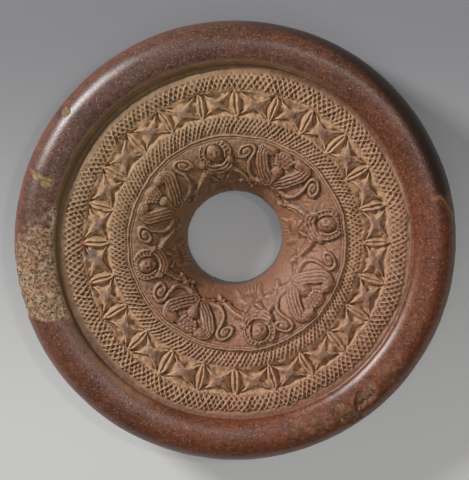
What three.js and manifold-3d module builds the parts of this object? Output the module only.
// Carved ringstone: a thick stone ring that lies on its plain back with the carved face up.
// Millimetres, +Z up. The origin is on the ring's axis, at the level of the back face.
// Turns are measured counter-clockwise from +X, seen from above.

import * as THREE from "three";
import Module from "manifold-3d";

// The whole stone
const diameter = 90;
const thickness = 18;
const boreDiameter = 19.5;

// Rim: a polished roll around the edge
const rimWidth = 9.1;
const rimCrestInset = 4.5;
const rimOuterRoll = 4.7;
const sideTaper = 0.6;
const backEdgeRadius = 2;
const boreChamfer = 0.6;

// Carved face, from the rim inwards: groove, hatch, stars, hatch, fillet, figures
const faceDrop = 1.5;
const grooveWidth = 0.6;
const grooveDepth = 0.35;
const outerHatchWidth = 3.65;
const starBandWidth = 5.55;
const innerHatchWidth = 3.4;
const filletWidth = 1.15;
const filletHeight = 0.35;
const throatLevel = 6;

// Hatch: crossing lines around sunk lozenges
const hatchDepth = 0.55;
const outerHatchColumns = 84;
const outerHatchRows = 2;
const innerHatchColumns = 66;
const innerHatchRows = 2;

// Stars, and the split leaves between them, stand on a sunk ground
const starCount = 24;
const firstStarTurn = 7.5;
const starGroundDepth = 0.8;
const starHeight = 0.85;
const starWaist = 1.05;
const starTipHeight = 0.7;
const leafHalfWidth = 0.8;
const leafHeight = 0.6;
const leafGrooveHeight = 0.1;
const carvingMargin = 0.2;
const carvingFoot = 0.5;

// Figures and palmettes stand around the funnel by turns, placed by eye as the carver did
const figureTurns = [11, 104, 194, 285];
const palmetteTurns = [60, 149, 238.5, 325];
const faceRelief = 1.1;
const hairRelief = 0.8;
const bodyRelief = 0.7;
const limbRelief = 0.65;
const necklaceRelief = 0.45;
const budRelief = 0.9;
const petalRelief = 0.75;
const stemRelief = 0.6;
const tieRelief = 0.45;

// How finely the plain surfaces of revolution are cut
const rimSegments = 60;
const funnelSegments = 30;
const starGroundSegments = 48;
const rimSteps = 3;
const funnelSteps = 5;

const radians = THREE.MathUtils.degToRad;

// Radii and levels that follow from the sizes above
const outerRadius = diameter / 2;
const boreRadius = boreDiameter / 2;
const rimInner = outerRadius - rimWidth;
const outerHatchOuter = rimInner - grooveWidth;
const starOuter = outerHatchOuter - outerHatchWidth;
const starInner = starOuter - starBandWidth;
const innerHatchInner = starInner - innerHatchWidth;
const funnelTop = innerHatchInner - filletWidth;
const faceLevel = thickness - faceDrop;
const groundLevel = faceLevel - starGroundDepth;
const figureZone = funnelTop - boreRadius;

// The funnel's section is a quarter ellipse that starts level and ends upright at the throat.
function funnelShare(radius) {
  return THREE.MathUtils.clamp((funnelTop - radius) / figureZone, 0, 1);
}

function funnelLevel(radius) {
  const inwards = funnelShare(radius);
  return throatLevel + (faceLevel - throatLevel) * Math.sqrt(1 - inwards * inwards);
}

// A point of the carved funnel, lifted off the surface along its own normal.
function funnelPoint(turn, radius, lift) {
  const inwards = funnelShare(radius);
  const lean = inwards / figureZone;
  const rise = Math.sqrt(1 - inwards * inwards) / (faceLevel - throatLevel);
  const length = Math.hypot(lean, rise);
  const lifted = radius - (lift * lean) / length;
  const level = funnelLevel(radius) + (lift * rise) / length;
  return new THREE.Vector3(lifted * Math.cos(turn), lifted * Math.sin(turn), level);
}

function groundPoint(turn, radius, lift) {
  return new THREE.Vector3(radius * Math.cos(turn), radius * Math.sin(turn), groundLevel + lift);
}

// A ring of points. Where wave is set, every second point is sunk by that much.
function ring(count, radius, level, wave = 0, firstSunk = 1) {
  return Array.from({ length: count }, (_, index) => {
    const turn = (index / count) * 2 * Math.PI;
    const sunk = wave && index % 2 === firstSunk ? wave : 0;
    return new THREE.Vector3(radius * Math.cos(turn), radius * Math.sin(turn), level - sunk);
  });
}

// Joins two rings of any counts with triangles. Where both could step, the higher diagonal wins,
// so that the hatch keeps its crossing ridges.
function zipRings(inner, outer, innerStart, outerStart, triangles) {
  let i = 0;
  let j = 0;
  while (i < inner.length || j < outer.length) {
    const a = inner[i % inner.length];
    const b = outer[j % outer.length];
    const nextA = inner[(i + 1) % inner.length];
    const nextB = outer[(j + 1) % outer.length];
    const lag = (i + 1) * outer.length - (j + 1) * inner.length;
    const innerSteps = lag < 0 || (lag === 0 && nextA.z + b.z >= a.z + nextB.z);
    const from = innerStart + (i % inner.length);
    const to = outerStart + (j % outer.length);
    if (innerSteps) {
      triangles.push(from, to, innerStart + ((i + 1) % inner.length));
      i += 1;
    } else {
      triangles.push(from, to, outerStart + ((j + 1) % outer.length));
      j += 1;
    }
  }
}

// A closed ring-shaped body through a loop of point rings.
function ringBody(rings) {
  const starts = [];
  const points = [];
  for (const current of rings) {
    starts.push(points.length);
    points.push(...current);
  }
  const triangles = [];
  rings.forEach((current, index) => {
    const next = (index + 1) % rings.length;
    zipRings(current, rings[next], starts[index], starts[next], triangles);
  });
  return { points, triangles };
}

function hatchRings(columns, rows, inner, outer) {
  const rings = [ring(columns, inner, faceLevel)];
  for (let row = 1; row <= rows; row += 1) {
    const radius = THREE.MathUtils.lerp(inner, outer, row / (rows + 1));
    rings.push(ring(2 * columns, radius, faceLevel, hatchDepth, row % 2));
  }
  rings.push(ring(columns, outer, faceLevel));
  return rings;
}

function plainBody() {
  const rings = [];
  const funnelRing = (radius, level) => rings.push(ring(funnelSegments, radius, level));
  const rimRing = (radius, level) => rings.push(ring(rimSegments, radius, level));
  funnelRing(boreRadius + boreChamfer, 0);
  funnelRing(boreRadius, boreChamfer);
  for (let step = 0; step <= funnelSteps; step += 1) {
    const angle = (step / funnelSteps) * (Math.PI / 2);
    const radius = funnelTop - figureZone * Math.cos(angle);
    funnelRing(radius, throatLevel + (faceLevel - throatLevel) * Math.sin(angle));
  }
  rimRing(funnelTop + filletWidth * 0.3, faceLevel + filletHeight);
  rimRing(innerHatchInner - filletWidth * 0.3, faceLevel + filletHeight);
  rings.push(...hatchRings(innerHatchColumns, innerHatchRows, innerHatchInner, starInner));
  rings.push(ring(starGroundSegments, starInner + carvingMargin, groundLevel));
  rings.push(ring(starGroundSegments, starOuter - carvingMargin, groundLevel));
  rings.push(...hatchRings(outerHatchColumns, outerHatchRows, starOuter, outerHatchOuter));
  rimRing(outerHatchOuter + grooveWidth / 2, faceLevel - grooveDepth);

  const crestRadius = outerRadius - rimCrestInset;
  for (let step = 0; step <= rimSteps; step += 1) {
    const angle = (step / rimSteps) * (Math.PI / 2);
    const radius = crestRadius - (crestRadius - rimInner) * Math.cos(angle);
    rimRing(radius, faceLevel - grooveDepth / 2 + (faceDrop + grooveDepth / 2) * Math.sin(angle));
  }
  for (let step = 1; step <= rimSteps; step += 1) {
    const angle = (step / rimSteps) * (Math.PI / 2);
    const level = thickness - rimOuterRoll * (1 - Math.cos(angle));
    rimRing(crestRadius + rimCrestInset * Math.sin(angle), level);
  }
  const backRadius = outerRadius - sideTaper;
  rimRing(backRadius, backEdgeRadius);
  rimRing(backRadius - backEdgeRadius * 0.3, backEdgeRadius * 0.3);
  rimRing(backRadius - backEdgeRadius, 0);
  return ringBody(rings);
}

// A boss: an outline with its own lifts, risen or sunk to a middle point, on a foot in the stone.
// Outline points are { turn, radius, lift }, counter-clockwise seen from above.
function boss(outline, middle, place) {
  const count = outline.length;
  const points = outline.map(({ turn, radius, lift }) => place(turn, radius, lift));
  points.push(...outline.map(({ turn, radius }) => place(turn, radius, -carvingFoot)));
  points.push(place(middle.turn, middle.radius, middle.lift));
  points.push(place(middle.turn, middle.radius, -carvingFoot));
  const triangles = [];
  for (let index = 0; index < count; index += 1) {
    const next = (index + 1) % count;
    triangles.push(index, next, 2 * count);
    triangles.push(next, index, count + index);
    triangles.push(next, count + index, count + next);
    triangles.push(count + next, count + index, 2 * count + 1);
  }
  return { points, triangles };
}

// A four-armed star whose arms reach into the corners of its cell.
function star(turn) {
  const halfCell = Math.PI / starCount;
  const middleRadius = (starInner + starOuter) / 2;
  const reach = starBandWidth / 2 - carvingMargin;
  const side = (starWaist / middleRadius) * 1.1;
  const outline = [];
  for (const [across, out] of [[-1, -1], [0, -1], [1, -1], [1, 0], [1, 1], [0, 1], [-1, 1], [-1, 0]]) {
    const isTip = across * out !== 0;
    const spread = isTip ? halfCell * 0.9 : side;
    outline.push({
      turn: turn - across * spread,
      radius: middleRadius + out * (isTip ? reach : starWaist),
      lift: isTip ? starTipHeight : 0.05,
    });
  }
  return boss(outline, { turn, radius: middleRadius, lift: starHeight }, groundPoint);
}

// A pointed leaf between two stars, split by a groove along its middle.
function leaf(turn) {
  const middleRadius = (starInner + starOuter) / 2;
  const reach = starBandWidth / 2 - carvingMargin;
  const outline = [];
  for (const [across, out] of [[0, -1], [1, -0.45], [1, 0.45], [0, 1], [-1, 0.45], [-1, -0.45]]) {
    outline.push({
      turn: turn - (across * leafHalfWidth) / middleRadius,
      radius: middleRadius + out * reach,
      lift: leafHeight,
    });
  }
  return boss(outline, { turn, radius: middleRadius, lift: leafGrooveHeight }, groundPoint);
}

// Carving on the funnel is drawn about an axis in shares of the figure zone's width:
// across is positive clockwise, out is 0 at the throat and 1 at the fillet.
function zonePoint(axis, across, out, lift) {
  const radius = boreRadius + out * figureZone;
  const turn = radians(axis) - (across * figureZone) / radius;
  return funnelPoint(turn, radius, lift);
}

// A rounded lump: a ring of points at its foot, one at its shoulder, and a crown.
function lump(axis, across, out, halfAcross, halfOut, relief, sides = 6) {
  const points = [];
  for (const [reach, lift] of [[1.1, -carvingFoot], [0.75, relief * 0.75]]) {
    for (let side = 0; side < sides; side += 1) {
      const angle = (side / sides) * 2 * Math.PI;
      const x = across + reach * halfAcross * Math.cos(angle);
      const y = out + reach * halfOut * Math.sin(angle);
      points.push(zonePoint(axis, x, y, lift));
    }
  }
  points.push(zonePoint(axis, across, out, relief), zonePoint(axis, across, out, -carvingFoot));
  const triangles = [];
  for (let side = 0; side < sides; side += 1) {
    const next = (side + 1) % sides;
    triangles.push(sides + side, sides + next, 2 * sides);
    triangles.push(side, next, sides + side);
    triangles.push(next, sides + next, sides + side);
    triangles.push(next, side, 2 * sides + 1);
  }
  return { points, triangles };
}

// A ridge along a route of (across, out) shares, pinched to a point at both ends.
function ridge(axis, route, halfWidth, relief) {
  const points = [];
  const triangles = [];
  route.forEach((stop, index) => {
    const before = route[Math.max(index - 1, 0)];
    const after = route[Math.min(index + 1, route.length - 1)];
    const along = after.clone().sub(before).normalize();
    const isEnd = index === 0 || index === route.length - 1;
    if (isEnd) {
      points.push(zonePoint(axis, stop.x, stop.y, 0));
      return;
    }
    for (const [side, lift] of [[1, -carvingFoot], [0, relief], [-1, -carvingFoot]]) {
      const x = stop.x - along.y * side * halfWidth;
      const y = stop.y + along.x * side * halfWidth;
      points.push(zonePoint(axis, x, y, lift));
    }
  });
  const sections = route.length - 2;
  const last = 1 + 3 * sections;
  for (let side = 0; side < 3; side += 1) {
    const next = (side + 1) % 3;
    triangles.push(0, 1 + next, 1 + side);
    triangles.push(last, last - 3 + side, last - 3 + next);
    for (let section = 0; section < sections - 1; section += 1) {
      const here = 1 + 3 * section;
      triangles.push(here + side, here + next, here + 3 + side);
      triangles.push(here + next, here + 3 + next, here + 3 + side);
    }
  }
  return { points, triangles };
}

function smooth(stops, steps) {
  const curve = new THREE.SplineCurve(stops.map(([across, out]) => new THREE.Vector2(across, out)));
  return curve.getSpacedPoints(steps);
}

function arc(across, out, radius, fromDegrees, toDegrees, steps) {
  return Array.from({ length: steps + 1 }, (_, index) => {
    const angle = radians(THREE.MathUtils.lerp(fromDegrees, toDegrees, index / steps));
    return new THREE.Vector2(across + radius * Math.cos(angle), out + radius * Math.sin(angle));
  });
}

// A volute: the route turns in on its centre while its radius shrinks.
function volute(across, out, radius, fromDegrees, turns, steps) {
  return Array.from({ length: steps + 1 }, (_, index) => {
    const share = index / steps;
    const angle = radians(fromDegrees + turns * 360 * share);
    const reach = radius * (1 - 0.7 * share);
    return new THREE.Vector2(across + reach * Math.cos(angle), out + reach * Math.sin(angle));
  });
}

// The same route on the other side of the axis.
function mirrored(route) {
  return route.map((stop) => new THREE.Vector2(-stop.x, stop.y));
}

function figure(axis) {
  const head = [0, 0.76];
  const pieces = [
    lump(axis, ...head, 0.15, 0.165, faceRelief),
    ridge(axis, arc(...head, 0.225, -35, 215, 6), 0.045, hairRelief),
    ridge(axis, arc(...head, 0.33, 225, 315, 3), 0.035, necklaceRelief),
    lump(axis, 0, 0.36, 0.2, 0.12, bodyRelief),
    lump(axis, 0, 0.15, 0.22, 0.09, bodyRelief),
  ];
  const arm = smooth([[0.16, 0.44], [0.34, 0.42], [0.6, 0.26]], 3);
  const leg = smooth([[0.1, 0.24], [0.12, 0.14], [0.07, 0.04]], 2);
  for (const half of [(route) => route, mirrored]) {
    pieces.push(ridge(axis, half(arm), 0.06, limbRelief));
    pieces.push(ridge(axis, half(leg), 0.07, limbRelief));
  }
  for (const side of [-1, 1]) {
    pieces.push(lump(axis, side * 0.25, 0.64, 0.07, 0.085, hairRelief, 4));
  }
  return pieces;
}

function palmette(axis) {
  const pieces = [
    lump(axis, 0, 0.58, 0.09, 0.16, budRelief),
    lump(axis, 0, 0.86, 0.15, 0.09, budRelief),
  ];
  const petal = smooth([[0.05, 0.44], [0.22, 0.56], [0.38, 0.74], [0.42, 0.92]], 4);
  const curl = volute(0.695, 0.775, 0.14, 180, -1, 6);
  const stem = [...smooth([[0.04, 0.43], [0.2, 0.36], [0.38, 0.39], [0.52, 0.55]], 3), ...curl];
  for (const half of [(route) => route, mirrored]) {
    pieces.push(ridge(axis, half(petal), 0.085, petalRelief));
    pieces.push(ridge(axis, half(stem), 0.04, stemRelief));
    pieces.push(ridge(axis, half(smooth([[-0.12, 0.4], [0.2, 0.3], [0.5, 0.26]], 2)), 0.035, tieRelief));
  }
  for (const side of [-1, 1]) {
    pieces.push(lump(axis, side * 0.33, 0.9, 0.12, 0.08, petalRelief, 4));
  }
  return pieces;
}

function carving() {
  const cell = (2 * Math.PI) / starCount;
  const pieces = [];
  for (let index = 0; index < starCount; index += 1) {
    const turn = radians(firstStarTurn) + index * cell;
    pieces.push(star(turn), leaf(turn + cell / 2));
  }
  figureTurns.forEach((axis) => pieces.push(...figure(axis)));
  palmetteTurns.forEach((axis) => pieces.push(...palmette(axis)));
  return pieces;
}

const wasm = await Module();
wasm.setup();

function solid({ points, triangles }) {
  const vertProperties = new Float32Array(points.flatMap((point) => point.toArray()));
  const triVerts = new Uint32Array(triangles);
  return new wasm.Manifold(new wasm.Mesh({ numProp: 3, vertProperties, triVerts }));
}

// The carving is joined to the plain body, because the stone is one piece.
function ringstoneGeometry() {
  const joined = carving().reduce((stone, piece) => stone.add(solid(piece)), solid(plainBody()));
  const mesh = joined.getMesh();
  const geometry = new THREE.BufferGeometry();
  geometry.setAttribute("position", new THREE.BufferAttribute(mesh.vertProperties, mesh.numProp));
  geometry.setIndex(new THREE.BufferAttribute(mesh.triVerts, 1));
  geometry.computeVertexNormals();
  return geometry;
}

const stone = new THREE.MeshStandardMaterial({ color: 0x7b5643, roughness: 0.5, metalness: 0 });
const ringstone = new THREE.Mesh(ringstoneGeometry(), stone);
ringstone.name = "ringstone";

const object = new THREE.Group();
object.name = "carved_ringstone";
object.add(ringstone);

export default object;
